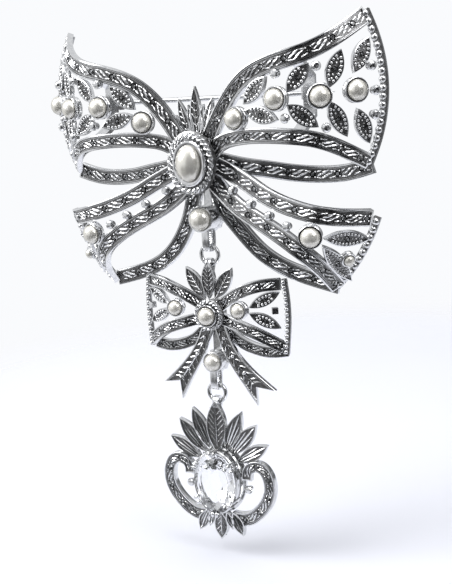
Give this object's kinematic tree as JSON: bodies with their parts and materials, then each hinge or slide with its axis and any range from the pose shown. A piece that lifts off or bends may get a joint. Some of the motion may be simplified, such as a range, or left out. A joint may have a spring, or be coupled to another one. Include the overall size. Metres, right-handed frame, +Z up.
{
  "type": "brooch",
  "caption": "Silver-tone bow brooch with openwork wings and half-pearls; a small bow and a fan-and-scroll crystal pendant hang below it on jump rings.",
  "frame": {"origin": "middle of the pin stem's axis between hinge and catch, with the pin closed", "axes": "+Z up the front of the brooch as worn, +X along the pin stem from hinge to catch (to the viewer's right from the front), +Y to the back, towards the cloth"},
  "size_m": [0.0782, 0.0176, 0.1141],
  "materials": {
    "antiqued_silver": "cast white metal, rhodium-tone plating, dark antiquing left in the recesses",
    "bright_silver": "polished rhodium-tone plating",
    "finding_metal": "polished plated wire and sheet",
    "pin_steel": "drawn stainless wire",
    "pearl": "cream imitation half-pearl with a satin lustre",
    "crystal": "clear faceted crystal"
  },
  "bodies": {
    "bow": {"bead_posts": "antiqued_silver", "bow_knot": "antiqued_silver", "bow_pearl_cups": "bright_silver", "bow_pearls": "pearl", "catch_body": "finding_metal", "centre_cabochon": "pearl", "drop_bail": "antiqued_silver", "drop_cup": "bright_silver", "hinge_rivet": "pin_steel", "leaf_fan": "antiqued_silver", "left_back_ribbon": "antiqued_silver", "left_loop_back_ribbon": "antiqued_silver", "left_loop_bottom_ribbon": "antiqued_silver", "left_loop_end_rail": "antiqued_silver", "left_loop_top_ribbon": "antiqued_silver", "left_lower_ribbon": "antiqued_silver", "left_pin_bridge": "antiqued_silver", "left_top_ribbon": "antiqued_silver", "left_wing_end_rail": "antiqued_silver", "left_wing_leaves": "antiqued_silver", "loop_leaves": "antiqued_silver", "pearl_collar": "bright_silver", "pin_joint": "finding_metal", "right_back_ribbon": "antiqued_silver", "right_loop_back_ribbon": "antiqued_silver", "right_loop_bottom_ribbon": "antiqued_silver", "right_loop_end_rail": "antiqued_silver", "right_loop_top_ribbon": "antiqued_silver", "right_lower_ribbon": "antiqued_silver", "right_pin_bridge": "antiqued_silver", "right_top_ribbon": "antiqued_silver", "right_wing_end_rail": "antiqued_silver", "right_wing_leaves": "antiqued_silver", "rope_bezel": "antiqued_silver"},
    "pin": {"pin_stem": "pin_steel"},
    "safety_barrel": {"catch_barrel": "finding_metal"},
    "upper_ring": {"upper_jump_ring": "finding_metal"},
    "small_bow": {"small_bail": "antiqued_silver", "small_bow_pearls": "pearl", "small_end_rails": "antiqued_silver", "small_knot": "antiqued_silver", "small_leaf_crown": "antiqued_silver", "small_leaves": "antiqued_silver", "small_left_ribbons": "antiqued_silver", "small_left_tail": "antiqued_silver", "small_pearl_cups": "bright_silver", "small_right_ribbons": "antiqued_silver", "small_right_tail": "antiqued_silver", "small_rope_bezel": "antiqued_silver"},
    "lower_ring": {"lower_jump_ring": "finding_metal"},
    "pendant": {"crystal": "crystal", "crystal_setting": "bright_silver", "pendant_back_plate": "antiqued_silver", "pendant_eye": "antiqued_silver", "pendant_fan_leaves": "antiqued_silver", "pendant_left_scroll": "antiqued_silver", "pendant_lower_leaves": "antiqued_silver", "pendant_right_scroll": "antiqued_silver", "pendant_scroll_beads": "antiqued_silver"}
  },
  "joints": [
    {"name": "pin_swing", "type": "hinge", "parent": "bow", "child": "pin", "pos_m": [-0.0235, 0, 0], "axis": [0, 0, 1], "range_deg": [0, 75]},
    {"name": "barrel_turn", "type": "hinge", "parent": "bow", "child": "safety_barrel", "pos_m": [0.0235, 0, 0], "axis": [1, 0, 0], "range_deg": [0, 110]},
    {"name": "upper_ring_swing", "type": "hinge", "parent": "bow", "child": "upper_ring", "pos_m": [0, -0.0058, -0.03103], "axis": [1, 0, 0], "range_deg": [-35, 12]},
    {"name": "small_bow_sway", "type": "hinge", "parent": "upper_ring", "child": "small_bow", "pos_m": [0, -0.0058, -0.03308], "axis": [0, 1, 0], "range_deg": [-20, 20]},
    {"name": "lower_ring_swing", "type": "hinge", "parent": "small_bow", "child": "lower_ring", "pos_m": [0, -0.0058, -0.06184], "axis": [1, 0, 0], "range_deg": [-35, 35]},
    {"name": "pendant_sway", "type": "hinge", "parent": "lower_ring", "child": "pendant", "pos_m": [0, -0.0058, -0.06389], "axis": [0, 1, 0], "range_deg": [-25, 25]}
  ]
}
